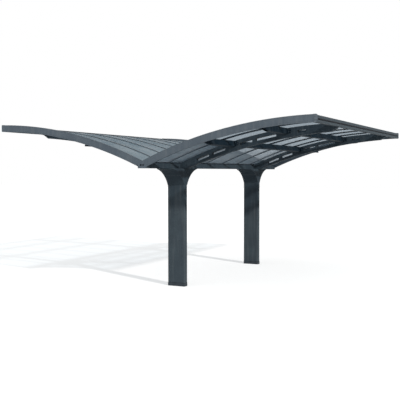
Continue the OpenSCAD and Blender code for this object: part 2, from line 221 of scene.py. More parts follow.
# %% [markdown]
# ## Effects that several finishes share
# Powder coat, plastic and zinc look different, but dust settles on all of them, their edges catch
# light and wear, and all of them have a fine texture that only shows up close. Each effect is a
# *node group*, a network with named inputs and outputs, so every finish can use it at its own
# strength. `new_group` starts one, and `use` places it in a finish. Most effects begin with soft
# noise, which `grain` gives as it comes and `drift` gives between two values.

# %% Group and grain helpers
def new_group(name, inputs, outputs):
    """Starts a node group. inputs maps a name to a kind and a starting value, outputs to a kind.
    Gives back the group, the inputs to read from and the outputs to fill."""
    group = bpy.data.node_groups.new(name, "ShaderNodeTree")
    for label, (kind, value) in inputs.items():
        socket = group.interface.new_socket(label, in_out="INPUT", socket_type="NodeSocket" + kind)
        socket.default_value = value
    for label, kind in outputs.items():
        group.interface.new_socket(label, in_out="OUTPUT", socket_type="NodeSocket" + kind)
    given = group.nodes.new("NodeGroupInput").outputs
    gives = group.nodes.new("NodeGroupOutput").inputs
    return group, given, gives


def use(tree, group, values=None):
    """Places a node group in a material and gives back its outputs."""
    node = tree.nodes.new("ShaderNodeGroup")
    node.node_tree = group
    fill(tree, node.inputs, values)
    return node.outputs


def object_point(tree):
    """The point on the piece, in metres."""
    return put(tree, "TexCoord").outputs["Object"]


def grain(tree, size, detail=2.0, stretch=(1.0, 1.0, 1.0)):
    """Soft noise from 0 to 1 whose blotches are about size metres across, or longer along an axis
    whose stretch is below 1."""
    scaled = put(tree, "Mapping", {"Vector": object_point(tree), "Scale": stretch}).outputs[0]
    inputs = {"Vector": scaled, "Scale": 1.0 / size, "Detail": detail}
    return put(tree, "TexNoise", inputs).outputs[0]


def drift(tree, size, low, high, detail=2.0, spread=(0.2, 0.8)):
    """A value that drifts between low and high in blotches of about size metres. The noise reaches
    low and high at the two ends of spread."""
    return ramp(tree, grain(tree, size, detail), *spread, low, high)


print("Group helpers are ready")

# %% [markdown]
# *Edge wear and highlight* compares the surface's own direction with a copy of it that the Bevel
# node has rounded over a few millimetres. The two differ only near an edge. Noise breaks the line
# up, as knocks and cleaning do. The lighter tone that a finish lays along it is partly wear and
# partly a painted highlight, for the light that an edge catches.

# %% Edge wear and highlight group
EDGE_TURN = (0.995, 0.86)
FLECK_SIZE, FLECK_DETAIL = 1.0 / 38.0, 5.0
FLECK_RANGE = (0.36, 0.62)

edge_wear_and_highlight, given, gives = new_group("edge wear and highlight", {"Reach": ("Float", 0.004)}, {"Edge": "Float"})
rounded = put(edge_wear_and_highlight, "Bevel", {"Radius": given["Reach"]}, samples=4).outputs[0]
own = put(edge_wear_and_highlight, "NewGeometry").outputs["True Normal"]
near_edge = ramp(edge_wear_and_highlight, agreement(edge_wear_and_highlight, rounded, own), *EDGE_TURN)
flecks = drift(edge_wear_and_highlight, FLECK_SIZE, 0.0, 1.0, detail=FLECK_DETAIL, spread=FLECK_RANGE)
fill(edge_wear_and_highlight, gives, {"Edge": calc(edge_wear_and_highlight, "MULTIPLY", near_edge, flecks)})
print("Edge wear:", len(edge_wear_and_highlight.nodes), "nodes")

# %% [markdown]
# *Dust* lies where a surface looks up, thicker in some places than in others, and rain leaves it in
# faint streaks down upright faces. Both come out as one mask from 0 to 1.

# %% Dust group
LEVEL_RANGE, UPRIGHT_RANGE = (0.25, 0.95), (0.5, 0.1)
PATCH_SIZE, PATCH_DETAIL, PATCH_RANGE = 0.35, 6.0, (0.3, 0.75)
STREAK_SIZE, STREAK_DETAIL, STREAK_RANGE = 0.05, 4.0, (0.45, 0.8)
STREAK_STRETCH = (1.0, 1.0, 0.06)

dust, given, gives = new_group(
    "dust", {"Lying": ("Float", 0.4), "Streaks": ("Float", 0.15)}, {"Dust": "Float"})
direction = put(dust, "SeparateXYZ", {0: put(dust, "NewGeometry").outputs["True Normal"]}).outputs
upward = ramp(dust, direction["Z"], *LEVEL_RANGE)
upright = ramp(dust, calc(dust, "ABSOLUTE", direction["Z"]), *UPRIGHT_RANGE)
patches = drift(dust, PATCH_SIZE, 0.0, 1.0, detail=PATCH_DETAIL, spread=PATCH_RANGE)
streaks = ramp(dust, grain(dust, STREAK_SIZE, STREAK_DETAIL, STREAK_STRETCH), *STREAK_RANGE)
lying = calc(dust, "MULTIPLY", calc(dust, "MULTIPLY", upward, patches), given["Lying"])
running = calc(dust, "MULTIPLY", calc(dust, "MULTIPLY", upright, streaks), given["Streaks"])
fill(dust, gives, {"Dust": calc(dust, "MAXIMUM", lying, running)})
print("Dust:", len(dust.nodes), "nodes")

# %% [markdown]
# *Paint skin* is the faint orange peel of baked powder: low swellings a millimetre or two wide,
# with a far finer grit on top. It puts out a normal, and a slow mottle that the colour and the
# roughness follow.

# %% Paint skin group
PEEL_SIZE, GRIT_SIZE = 0.0022, 0.0005
MOTTLE_SIZE, SPECKLE_SIZE = 0.22, 0.012
MOTTLE_RANGE = (0.75, 1.3)
PEEL_DEPTH = 0.0004

paint_skin, given, gives = new_group(
    "paint skin",
    {"Peel": ("Float", 0.12), "Grit": ("Float", 0.05)},
    {"Mottle": "Float", "Normal": "Vector"})
peel = calc(paint_skin, "MULTIPLY", grain(paint_skin, PEEL_SIZE, detail=1.0), given["Peel"])
grit = calc(paint_skin, "MULTIPLY", grain(paint_skin, GRIT_SIZE), given["Grit"])
height = calc(paint_skin, "ADD", peel, grit)
peel_bump = put(paint_skin, "Bump", {"Height": height, "Distance": PEEL_DEPTH, "Strength": 1.0})
mottle = calc(paint_skin, "ADD", grain(paint_skin, MOTTLE_SIZE, detail=4.0),
              grain(paint_skin, SPECKLE_SIZE, detail=3.0))
fill(paint_skin, gives, {"Mottle": ramp(paint_skin, mottle, *MOTTLE_RANGE),
                         "Normal": peel_bump.outputs[0]})
print("Paint skin:", len(paint_skin.nodes), "nodes")

# %% [markdown]
# ## Painted metal
# The posts are steel and the other profiles extruded aluminium, and all of them have a dark grey
# powder coat. The structure and the outer trims have the same kind of coat in different tones, so
# one function makes them all. The purlins are the darkest, and their tone holds painted shade, for
# the shade they lie in under the sheets. The coat is not metal to the eye: a dielectric shader with
# a middling roughness and a low specular level keeps it satin and dark, also where the light only
# grazes it.

# %% Powder coat
DUST_COLOUR = (0.36, 0.35, 0.33, 1.0)
COAT_SHADER = {"IOR": 1.5, "Specular IOR Level": 0.02}
COAT_GRIT = 0.05
COAT_EDGE_REACH, COAT_EDGE_WORN_AND_LIT = 0.0035, 0.45
COAT_STREAKS = 0.10
ROUGHNESS_SPREAD, DUST_ROUGHENS = 0.04, 0.3


def new_material(name, values):
    """Starts a material and sets its Principled shader. Gives back the material, its tree and the
    shader's inputs."""
    material = bpy.data.materials.new(name)
    material.use_nodes = True
    shader = material.node_tree.nodes["Principled BSDF"]
    fill(material.node_tree, shader.inputs, values)
    return material, material.node_tree, shader.inputs


def powder_coat(name, dark, light, worn_and_lit, roughness, lying, peel):
    """A powder coat that mottles between two tones, lightens on its edges and gathers dust."""
    material, tree, shader = new_material(name, COAT_SHADER)
    skin = use(tree, paint_skin, {"Peel": peel, "Grit": COAT_GRIT})
    edge = use(tree, edge_wear_and_highlight, {"Reach": COAT_EDGE_REACH})["Edge"]
    settled = use(tree, dust, {"Lying": lying, "Streaks": COAT_STREAKS})["Dust"]
    coat = blend(tree, skin["Mottle"], dark, light)
    # Lighter edges: partly wear, partly a painted highlight.
    coat = blend(tree, calc(tree, "MULTIPLY", edge, COAT_EDGE_WORN_AND_LIT), coat, worn_and_lit)
    coat = blend(tree, settled, coat, DUST_COLOUR)
    satin = ramp(tree, skin["Mottle"], 0.0, 1.0,
                 roughness - ROUGHNESS_SPREAD, roughness + ROUGHNESS_SPREAD)
    rough = calc(tree, "ADD", satin, calc(tree, "MULTIPLY", settled, DUST_ROUGHENS))
    fill(tree, shader, {"Base Color": coat, "Roughness": rough, "Normal": skin["Normal"]})
    return material


print("Powder coat: grit", COAT_GRIT, "and edges worn over", COAT_EDGE_REACH, "m")

# %% Painted finishes
frame_paint = powder_coat(
    "frame_paint", dark=(0.043, 0.054, 0.063, 1), light=(0.055, 0.070, 0.080, 1),
    worn_and_lit=(0.13, 0.145, 0.155, 1), roughness=0.58, lying=0.18, peel=0.12)
edge_paint = powder_coat(
    "edge_paint", dark=(0.080, 0.096, 0.113, 1), light=(0.096, 0.114, 0.131, 1),
    worn_and_lit=(0.17, 0.19, 0.21, 1), roughness=0.55, lying=0.18, peel=0.10)
# The purlins' darker tone is painted shade, for the shade under the sheets.
purlin_paint_and_shade = powder_coat(
    "purlin_paint_and_shade", dark=(0.010, 0.018, 0.025, 1), light=(0.014, 0.024, 0.033, 1),
    worn_and_lit=(0.09, 0.10, 0.11, 1), roughness=0.58, lying=0.18, peel=0.12)
print("Painted finishes:", frame_paint.name, edge_paint.name, purlin_paint_and_shade.name)

# %% [markdown]
# ## Plastic, zinc, rubber and screws
# The trim that dresses the foot of each post is moulded plastic with a fine leather grain. Fine
# noise as a bump is enough for it, because the grain is far too small to model.

# %% Plastic finish
LEATHER_SIZE, LEATHER_DEPTH, LEATHER_STRENGTH = 0.0009, 0.0004, 0.5
CLOUD_SIZE, GLOSS_PATCH = 0.08, 0.03
PLASTIC_ROUGHNESS = (0.5, 0.62)
PLASTIC_DARK, PLASTIC_LIGHT = (0.030, 0.037, 0.043, 1), (0.039, 0.048, 0.056, 1)
PLASTIC_WORN_AND_LIT, PLASTIC_EDGE_WORN_AND_LIT = (0.10, 0.11, 0.12, 1), 0.35

trim_plastic, tree, shader = new_material("trim_plastic", {"IOR": 1.49, "Specular IOR Level": 0.08})
leather = put(tree, "Bump", {"Height": grain(tree, LEATHER_SIZE, detail=3.0),
                             "Distance": LEATHER_DEPTH, "Strength": LEATHER_STRENGTH})
settled = use(tree, dust, {"Lying": 0.25, "Streaks": 0.06})["Dust"]
cloudy = drift(tree, CLOUD_SIZE, 0.0, 1.0, detail=4.0, spread=(0.3, 0.7))
tone = blend(tree, cloudy, PLASTIC_DARK, PLASTIC_LIGHT)
# Lighter edges: partly wear, partly a painted highlight.
worn_and_lit_edge = calc(tree, "MULTIPLY", use(tree, edge_wear_and_highlight)["Edge"], PLASTIC_EDGE_WORN_AND_LIT)
tone = blend(tree, worn_and_lit_edge, tone, PLASTIC_WORN_AND_LIT)
fill(tree, shader, {"Base Color": blend(tree, settled, tone, DUST_COLOUR),
                    "Roughness": drift(tree, GLOSS_PATCH, *PLASTIC_ROUGHNESS),
                    "Normal": leather.outputs[0]})
print("Plastic:", len(tree.nodes), "nodes")

# %% [markdown]
# The base plates and the strainers in the gutter are dipped in zinc, which freezes in angular
# flakes called spangle. A Voronoi texture splits the surface into such flakes, and gives each of
# them its own grey and its own shine.

# %% Zinc finish
FLAKES_PER_METRE = 90.0
ZINC_DARK, ZINC_LIGHT = (0.30, 0.32, 0.33, 1), (0.50, 0.52, 0.53, 1)
ZINC_ROUGHNESS = (0.32, 0.52)

zinc_plate, tree, shader = new_material("zinc_plate", {"Metallic": 0.9})
flakes = put(tree, "TexVoronoi", {"Vector": object_point(tree), "Scale": FLAKES_PER_METRE},
             feature="F1")
flake_tone = put(tree, "SeparateColor", {0: flakes.outputs["Color"]}).outputs[0]
settled = use(tree, dust, {"Lying": 0.55, "Streaks": 0.2})["Dust"]
tone = blend(tree, flake_tone, ZINC_DARK, ZINC_LIGHT)
fill(tree, shader, {"Base Color": blend(tree, settled, tone, DUST_COLOUR),
                    "Roughness": ramp(tree, flake_tone, 0.0, 1.0, *ZINC_ROUGHNESS)})
print("Zinc:", len(tree.nodes), "nodes")

# %% [markdown]
# Seals and plugs are black rubber, dull and slightly pitted. Bright screws show fine turning
# marks. Both are small, so two tones and a little noise are enough.

# %% Rubber finish
PIT_SIZE, PIT_DEPTH, PIT_STRENGTH = 0.0006, 0.0003, 0.4
RUBBER_DARK, RUBBER_LIGHT, RUBBER_CLOUD = (0.005, 0.006, 0.009, 1), (0.010, 0.012, 0.016, 1), 0.02
RUBBER_ROUGHNESS, RUBBER_PATCH = (0.62, 0.8), 0.01

rubber, tree, shader = new_material("rubber_seal", {"IOR": 1.5, "Specular IOR Level": 0.10})
pits = put(tree, "Bump", {"Height": grain(tree, PIT_SIZE), "Distance": PIT_DEPTH,
                          "Strength": PIT_STRENGTH})
tone = blend(tree, grain(tree, RUBBER_CLOUD), RUBBER_DARK, RUBBER_LIGHT)
fill(tree, shader, {"Base Color": tone,
                    "Roughness": drift(tree, RUBBER_PATCH, *RUBBER_ROUGHNESS),
                    "Normal": pits.outputs[0]})
print("Rubber:", len(tree.nodes), "nodes")

# %% Screw finish
MARK_SIZE, MARK_RANGE = 0.0012, (0.2, 0.8)
STEEL_DARK, STEEL_LIGHT = (0.10, 0.105, 0.11, 1), (0.17, 0.175, 0.18, 1)
STEEL_ROUGHNESS = (0.38, 0.55)

screw_steel, tree, shader = new_material("screw_steel", {"Metallic": 1.0})
turning_marks = grain(tree, MARK_SIZE)
fill(tree, shader, {"Base Color": blend(tree, turning_marks, STEEL_DARK, STEEL_LIGHT),
                    "Roughness": ramp(tree, turning_marks, *MARK_RANGE, *STEEL_ROUGHNESS)})
print("Screw steel:", len(tree.nodes), "nodes")

# %% [markdown]
# ## Roof sheets
# The sheets are smoke-grey twin-wall plastic: two thin skins with fine ribs between them. Light
# passes through, and the ribs show as fine lines across the slope. Real refraction through every
# rib would be slow and noisy, so the sheet mixes two simple shaders: a glossy skin, and a clear,
# faintly blue one that lets what lies behind show through.
#
# The skin's colour comes first. Fine silt gathers at the low end of each sheet, near the gutter,
# and makes it greyer there. Seen from below, the tint is lighter and that grey near the gutter is
# far stronger: this is painted glow, for the sunlight that scatters through the sheet from above.

# %% Roof sheet colour
FLUTE_PITCH = 0.011
RIB_RANGE, RIB_TONED = (0.55, 0.95), 0.12
TOP_RANGE = (-0.2, 0.2)
SILT_AND_GLOW_FROM, SILT_AND_GLOW_TO = 1.10, 0.30
# The grey seen from below is mostly painted glow of sunlight scattered through the sheet; from
# above it is silt.
SILT_AND_GLOW_BELOW, SILT_ABOVE = 0.95, 0.088
SILT_AND_GLOW_CLOUD_SIZE, SILT_AND_GLOW_THIN, SILT_AND_GLOW_THICK, SILT_AND_GLOW_SPREAD = 0.18, 0.7, 1.0, (0.25, 0.75)
# The lighter tint seen from below is painted glow of sunlight scattered through the sheet.
SHEET_BELOW_GLOWING, SHEET_ABOVE = (0.13, 0.165, 0.190, 1), (0.051, 0.092, 0.120, 1)
SILT_AND_GLOW_COLOUR, RIB_COLOUR = (0.62, 0.65, 0.67, 1), (0.16, 0.22, 0.26, 1)

roof_sheet, tree, shader = new_material("roof_sheet", {"IOR": 1.45, "Specular IOR Level": 0.04})
point = put(tree, "SeparateXYZ", {0: object_point(tree)}).outputs
flute = calc(tree, "SINE", calc(tree, "MULTIPLY", point["X"], 2.0 * math.pi / FLUTE_PITCH))
rib = ramp(tree, flute, *RIB_RANGE)
looks = put(tree, "SeparateXYZ", {0: put(tree, "NewGeometry").outputs["Normal"]}).outputs
top = ramp(tree, looks["Z"], *TOP_RANGE)
near_gutter = ramp(tree, calc(tree, "ABSOLUTE", point["Y"]), SILT_AND_GLOW_FROM, SILT_AND_GLOW_TO)
silt_and_glow_clouds = drift(tree, SILT_AND_GLOW_CLOUD_SIZE, SILT_AND_GLOW_THIN, SILT_AND_GLOW_THICK, detail=5.0, spread=SILT_AND_GLOW_SPREAD)
near_gutter = calc(tree, "MULTIPLY", near_gutter, silt_and_glow_clouds)
# From below this grey is painted glow; from above it is silt.
silt_and_glow = calc(tree, "MULTIPLY", near_gutter, ramp(tree, top, 0.0, 1.0, SILT_AND_GLOW_BELOW, SILT_ABOVE))
tint = blend(tree, top, SHEET_BELOW_GLOWING, SHEET_ABOVE)
tint = blend(tree, silt_and_glow, tint, SILT_AND_GLOW_COLOUR)
tint = blend(tree, calc(tree, "MULTIPLY", rib, RIB_TONED), tint, RIB_COLOUR)
print("Flutes across one metre of roof:", round(1.0 / FLUTE_PITCH))

# %% [markdown]
# How solid the sheet looks comes next. The outer skin has a weather coat that makes it less clear
# from above than from below, and ribs, dust and silt hide a little more. Sunlight has a share of
# its own, which a Light Path node picks out: most of it comes through, and slightly less where it
# meets the sheet edgewise.

# %% Roof sheet clearness
SOLID_BELOW, SOLID_ABOVE = 0.40, 0.78
RIB_HIDES, DUST_HIDES, SILT_HIDES = 0.03, 0.08, 0.22
MOST_SOLID = 0.97
SUN_STOPPED, SUN_STOPPED_EDGEWISE = 0.22, 0.24
EDGEWISE_RANGE = (0.5, 1.0)

settled = use(tree, dust, {"Lying": 0.10, "Streaks": 0.0})["Dust"]
solid = ramp(tree, top, 0.0, 1.0, SOLID_BELOW, SOLID_ABOVE)
for mask, hides in ((rib, RIB_HIDES), (settled, DUST_HIDES), (near_gutter, SILT_HIDES)):
    solid = calc(tree, "ADD", solid, calc(tree, "MULTIPLY", mask, hides))
solid = calc(tree, "MINIMUM", solid, MOST_SOLID)
edgewise = put(tree, "LayerWeight", {"Blend": 0.5}).outputs["Facing"]
stopped = ramp(tree, edgewise, *EDGEWISE_RANGE, SUN_STOPPED, SUN_STOPPED_EDGEWISE)
sunlight = put(tree, "LightPath").outputs["Is Shadow Ray"]
solid = put(tree, "Mix", {0: sunlight, 2: solid, 3: stopped}).outputs[0]
print("Share of the sheet that hides what lies behind: from below", SOLID_BELOW,
      "and from above", SOLID_ABOVE)

# %% Roof sheet finish
SMOKE_TINT = (0.885, 0.950, 1.0, 1.0)
RIB_DEPTH, RIB_STRENGTH = 0.0002, 0.06
SHEEN_PATCH, SHEET_ROUGHNESS = 0.4, (0.3, 0.4)

rib_bump = put(tree, "Bump", {"Height": flute, "Distance": RIB_DEPTH, "Strength": RIB_STRENGTH})
sheen = drift(tree, SHEEN_PATCH, *SHEET_ROUGHNESS, detail=4.0, spread=(0.3, 0.7))
fill(tree, shader, {"Base Color": blend(tree, settled, tint, DUST_COLOUR), "Roughness": sheen,
                    "Normal": rib_bump.outputs[0]})
see_through = put(tree, "BsdfTransparent", {"Color": SMOKE_TINT})
glossy_skin = tree.nodes["Principled BSDF"]
sheet_mix = put(tree, "MixShader", {0: solid, 1: see_through.outputs[0], 2: glossy_skin.outputs[0]})
fill(tree, tree.nodes["Material Output"].inputs, {"Surface": sheet_mix.outputs[0]})
print("Roof sheet:", len(tree.nodes), "nodes")

# %% [markdown]
# ## Finishes onto the CAD parts
# Each CAD part came with a named material slot. The slot's name says which finish it takes. Four
# kinds of part have a tone of their own: the purlins are darker than the arms that carry them, with
# painted shade in that tone, the eave beams are as dark as the structure although they are trims,
# and the gutter caps and glazing bars match the fascias beside them.

# %% Assign the finishes
FINISHES = {"frame_paint": frame_paint, "edge_paint": edge_paint, "trim_plastic": trim_plastic,
            "zinc_plate": zinc_plate, "roof_sheet": roof_sheet}
OWN_TONES = {"eave_beam": frame_paint, "purlin": purlin_paint_and_shade, "gutter_cap": edge_paint,
             "glazing_bars": edge_paint}

slot_of = {row["node"]: row["material_slot"] for row in frame["record"]["subparts"]}
for name, part in nodes.items():
    tones = [tone for word, tone in OWN_TONES.items() if word in name]
    part.data.materials.clear()
    part.data.materials.append(tones[0] if tones else FINISHES[slot_of[name]])
print("Finishes on the CAD parts:", sorted(set(slot_of.values())))

# %% [markdown]
# ## Shapes for the small pieces
# What is still missing is small: seals, screws, bolts and folded strips. They come in two kinds. A
# seal or a strip is a *profile carried along a path*, and a screw is an *outline turned about its
# axis*, which is then copied to each place. Modelling them by hand would take hours, and every
# change of the roof would undo it. Worked out from the CAD parts' own points, they always fit.
#
# A closed shape needs its faces to look outwards, or light treats it as inside out. The sign of the
# volume that the faces enclose tells which way they look.

# %% A profile carried along a path
def skin_between(rings):
    """The four-sided faces between rows of a grid of points whose columns close on themselves."""
    here, there = rings[:-1], rings[1:]
    after = (np.roll(here, -1, 1), np.roll(there, -1, 1))
    return np.stack([here, after[0], after[1], there], -1).reshape(-1, 4).tolist()


def facing_out(points, faces):
    """Turns the faces round if the volume that they enclose comes out negative. Each face is cut
    into triangles, and each triangle adds a sixth of the triple product of its corners."""
    cut = np.array([(face[0], face[i], face[i + 1])
                    for face in faces for i in range(1, len(face) - 1)])
    a, b, c = (points[cut[:, i]] for i in range(3))
    volume = (a * np.cross(b, c)).sum() / 6.0
    return points, faces if volume > 0 else [face[::-1] for face in faces]


def carried(profile, path, side, up, closed=False):
    """Carries a profile along a path: point = path + profile x along side + profile y along up.
    Each end is closed by the profile itself, unless the path closes on itself."""
    profile, path = np.array(profile), np.array(path, dtype=float)
    side, up = (np.broadcast_to(way, path.shape)[:, None] for way in (side, up))
    points = path[:, None] + profile[None, :, :1] * side + profile[None, :, 1:] * up
    rings = np.arange(points.size // 3).reshape(points.shape[:2])
    if closed:
        faces = skin_between(np.concatenate([rings, rings[:1]]))
    else:
        faces = skin_between(rings) + [rings[0][::-1].tolist(), rings[-1].tolist()]
    return facing_out(points.reshape(-1, 3), faces)


print("Shapes can be carried along a path")

# %% [markdown]
# All seals of one wing are one object, because they share a finish and never move apart. So shapes
# are joined before they become a mesh. Faces that meet at less than a set angle are shaded as one
# smooth surface, and sharper folds stay crisp.

# %% Pieces out of shapes
SHARP_ANGLE = math.radians(35.0)
LEVEL_DIGITS = 4


def points_of(name):
    """The corner points of a CAD part, one row each."""
    mesh = nodes[name].data
    flat = np.empty(3 * len(mesh.vertices))
    mesh.vertices.foreach_get("co", flat)
    return flat.reshape(-1, 3)


def levels_of(values):
    """The different rows or numbers among values, to a tenth of a millimetre."""
    return np.unique(np.round(values, LEVEL_DIGITS), axis=0)


def joined(shapes):
    """Several shapes as one."""
    starts = np.cumsum([0] + [len(points) for points, _ in shapes])
    faces = [[corner + int(start) for corner in face]
             for (_, shape_faces), start in zip(shapes, starts) for face in shape_faces]
    return np.concatenate([points for points, _ in shapes]), faces


def make_piece(name, shapes, finish):
    """Makes one object out of shapes and lets it ride with the carport."""
    points, faces = joined(shapes)
    mesh = bpy.data.meshes.new(name)
    mesh.from_pydata(points.tolist(), [], faces)
    mesh.shade_smooth()
    mesh.set_sharp_from_angle(angle=SHARP_ANGLE)
    mesh.materials.append(finish)
    piece = bpy.data.objects.new(name, mesh)
    bpy.context.collection.objects.link(piece)
    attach(piece, "root")
    print(name + ":", len(faces), "faces")
    return piece


print("Corner points of a glazing bar row:", len(points_of("left_glazing_bars")))

# %% [markdown]
# ## The curve of the roof
# Seals and screws have to lie on the curved skin, so its circle is measured from the parts. A
# circle's equation, y² + z² = 2ay + 2bz + c, is linear in a, b and c, so least squares finds its
# centre and radius at once. A first circle through all points of a part tells which of them lie
# furthest out, and a second one through those is its upper face.

# %% Roof curve
X_AXIS, Y_AXIS, Z_AXIS = np.eye(3)
SIDES = {"left": 1.0, "right": -1.0}
ENDS = {"front": -1.0, "rear": 1.0}
SKIN_LEVEL = 0.002


def circle_of(y, z):
    """Centre and radius of the circle that fits the points best."""
    table = np.stack([2.0 * y, 2.0 * z, np.ones(len(y))], -1)
    (a, b, c), *_ = np.linalg.lstsq(table, y * y + z * z, rcond=None)
    return a, b, math.sqrt(c + a * a + b * b)


def upper_curve(name):
    """The circle of a part's upper face."""
    _, y, z = points_of(name).T
    a, b, _ = circle_of(y, z)
    away = np.hypot(y - a, z - b)
    outermost = away > away.max() - SKIN_LEVEL
    return circle_of(y[outermost], z[outermost])


def on_curve(curve, y, side, lift=0.0):
    """Points at distances y from the valley, with the curve's outward and downhill-to-eave ways:
    point = centre + (radius + lift) out, where out leans by (y - centre) / radius."""
    a, b, radius = curve
    lean = (np.atleast_1d(y) - a) / radius
    rise = np.sqrt(1.0 - lean * lean)
    none = 0.0 * lean
    out = np.stack([none, side * lean, rise], -1)
    along = np.stack([none, side * rise, -lean], -1)
    points = np.stack([none, side * (a + (radius + lift) * lean), b + (radius + lift) * rise], -1)
    return points, out, along


sheet_curve = upper_curve("left_roof_panels")
bar_curve = upper_curve("left_glazing_bars")
print("Roof circle: centre", np.round(sheet_curve[:2], 3), "radius", round(sheet_curve[2], 3))

# %% [markdown]
# ## Glazing bar seals and screws
# A glazing bar holds the edges of two sheets. Between its cap and the sheets run two soft black
# lips that keep the rain out, and a row of screws with sealing washers clamps the cap down. The
# bars' places come from their own points: every cap has four levels of X, from edge to edge.

# %% Bar seals
LIP_PROFILE = [(0.0, 0.0), (0.0042, 0.0), (0.0038, 0.0018), (0.0024, 0.0036), (0.0, 0.0048)]
LIP_STEPS, LIP_LIFT = 26, 0.0001
END_GAP = 0.002

bar_levels = levels_of(points_of("left_glazing_bars")[:, 0]).reshape(-1, 4)
bar_places = bar_levels.mean(axis=1)
bar_half = (bar_levels[:, 3] - bar_levels[:, 0]).mean() / 2.0
low_end, high_end = points_of("left_roof_panels")[:, 1].min(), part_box("left_eave_beam")[0][1]
down_lip = np.linspace(low_end + END_GAP, high_end - END_GAP, LIP_STEPS)
for wing, side in SIDES.items():
    path, out, _ = on_curve(sheet_curve, down_lip, side, LIP_LIFT)
    lips = [carried(LIP_PROFILE, path + (place + flank * bar_half) * X_AXIS, flank * X_AXIS, out)
            for place in bar_places for flank in (-1.0, 1.0)]
    make_piece(wing + "_bar_seals", lips, rubber)
print("Glazing bars on each wing:", len(bar_places))

# %% [markdown]
# A screw head could be a cylinder with a bevel, but its dome and the slope of its washer show
# against the light. Half of its outline, turned about the axis, gives both, and `stamped` copies
# the result to every place, standing on the surface there.

# %% Turned and stamped shapes
def turned(outline, steps):
    """Turns an outline about Z: point = (radius cos angle, radius sin angle, height). The outline
    starts and ends on the axis."""
    outline = np.array(outline)
    angle = np.arange(steps) * 2.0 * math.pi / steps
    radius, height = outline[1:-1, :1], outline[1:-1, 1:]
    grid = np.stack([radius * np.cos(angle), radius * np.sin(angle), height + 0.0 * angle], -1)
    rings = np.arange(grid.size // 3).reshape(grid.shape[:2])
    tips = np.array([[0.0, 0.0, outline[0, 1]], [0.0, 0.0, outline[-1, 1]]])
    first, last, after = rings[0], rings[-1], np.roll(rings, -1, 1)
    base = np.stack([after[0], first, np.full(steps, rings.size)], -1).tolist()
    crown = np.stack([last, after[-1], np.full(steps, rings.size + 1)], -1).tolist()
    points = np.concatenate([grid.reshape(-1, 3), tips])
    return facing_out(points, skin_between(rings) + base + crown)


def stamped(shape, places, out, along):
    """Copies a shape to each place: point = place + x along + y (out cross along) + z out."""
    places = np.array(places, dtype=float)
    out, along = (np.broadcast_to(way, places.shape) for way in (out, along))
    ways = np.stack([along, np.cross(out, along), out], 1)
    copies = places[:, None] + shape[0] @ ways
    return joined([(copy, shape[1]) for copy in copies])


PAN_HEAD = [(0.0, 0.0048), (0.0022, 0.0047), (0.0042, 0.0040), (0.0054, 0.0026),
            (0.0056, 0.0012), (0.0, 0.0012)]
WASHER = [(0.0, 0.0013), (0.0078, 0.0013), (0.0084, 0.0009), (0.0086, 0.0), (0.0, 0.0)]
pan_head, washer = turned(PAN_HEAD, steps=14), turned(WASHER, steps=18)
print("Faces of a screw head:", len(pan_head[1]), "and of its washer:", len(washer[1]))

# %% Bar screws
SCREWS_PER_BAR = 7
SCREW_MARGIN = 0.11

down_bar = np.linspace(low_end + SCREW_MARGIN, high_end - SCREW_MARGIN, SCREWS_PER_BAR)
for wing, side in SIDES.items():
    row, out, _ = on_curve(bar_curve, down_bar, side)
    spots = (row[None] + bar_places[:, None, None] * X_AXIS).reshape(-1, 3)
    ways = np.tile(out, (len(bar_places), 1))
    heads = stamped(pan_head, spots, ways, X_AXIS)
    make_piece(wing + "_bar_screws", [heads], frame_paint)
    make_piece(wing + "_bar_washers", [stamped(washer, spots, ways, X_AXIS)], rubber)

# %% [markdown]
# ## Valley shade strips and sheet end strips
# The low end of each sheet is closed by a folded strip, so that no insects or dirt get into its
# channels. Under it, the sheets rest on a rail beside the gutter, and a black rubber bulb against
# the outside of that rail is painted shade: it draws the dark gap line under the sheets' ends. The
# end strips are cut to fit between the bar caps.

# %% Valley shade strips
VALLEY_SHADE_PROFILE = [(0.0, 0.0), (0.0030, 0.0004), (0.0046, 0.0030), (0.0048, 0.0062),
                (0.0034, 0.0092), (0.0, 0.0116)]
TO_OTHER_END = np.array([-1.0, 1.0, 1.0])

_, rail_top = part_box("left_valley_rail")
gutter_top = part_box("valley_gutter")[1][2]
for wing, side in SIDES.items():
    start = np.array([-rail_top[0] + END_GAP, side * rail_top[1], gutter_top])
    # A black strip against the rail: painted shade for the gap between the sheets and the gutter.
    valley_shade = carried(VALLEY_SHADE_PROFILE, [start, start * TO_OTHER_END], side * Y_AXIS, Z_AXIS)
    make_piece(wing + "_valley_shade_strip", [valley_shade], rubber)

# %% Sheet end strips
STRIP_PROFILE = [(-0.0042, -0.0078), (0.0050, -0.0078), (0.0050, -0.0066), (-0.0030, -0.0066),
                 (-0.0030, 0.0004), (0.0095, 0.0004), (0.0095, 0.0016), (-0.0042, 0.0016)]

roof_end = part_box("left_roof_panels")[1][0]
sheet_edges = np.concatenate([[-roof_end], bar_levels[:, [0, 3]].ravel(), [roof_end]])
for wing, side in SIDES.items():
    spot, out, along = on_curve(sheet_curve, low_end, side)
    strips = []
    for near, far in sheet_edges.reshape(-1, 2):
        path = [spot[0] + (near + END_GAP) * X_AXIS, spot[0] + (far - END_GAP) * X_AXIS]
        strips.append(carried(STRIP_PROFILE, path, along, out))
    make_piece(wing + "_sheet_end_strips", strips, frame_paint)

# %% [markdown]
# ## Eave groove shade
# The groove along the outside of each eave beam holds a black rubber strip shaped like a bulb seal.
# It is painted shade, which draws a dark line along the whole eave where the groove lies in shade.
# Its foot fills the groove and its bulb stands a little proud of it. The groove is found in the
# beam's own points: it is the step just behind the outer face.

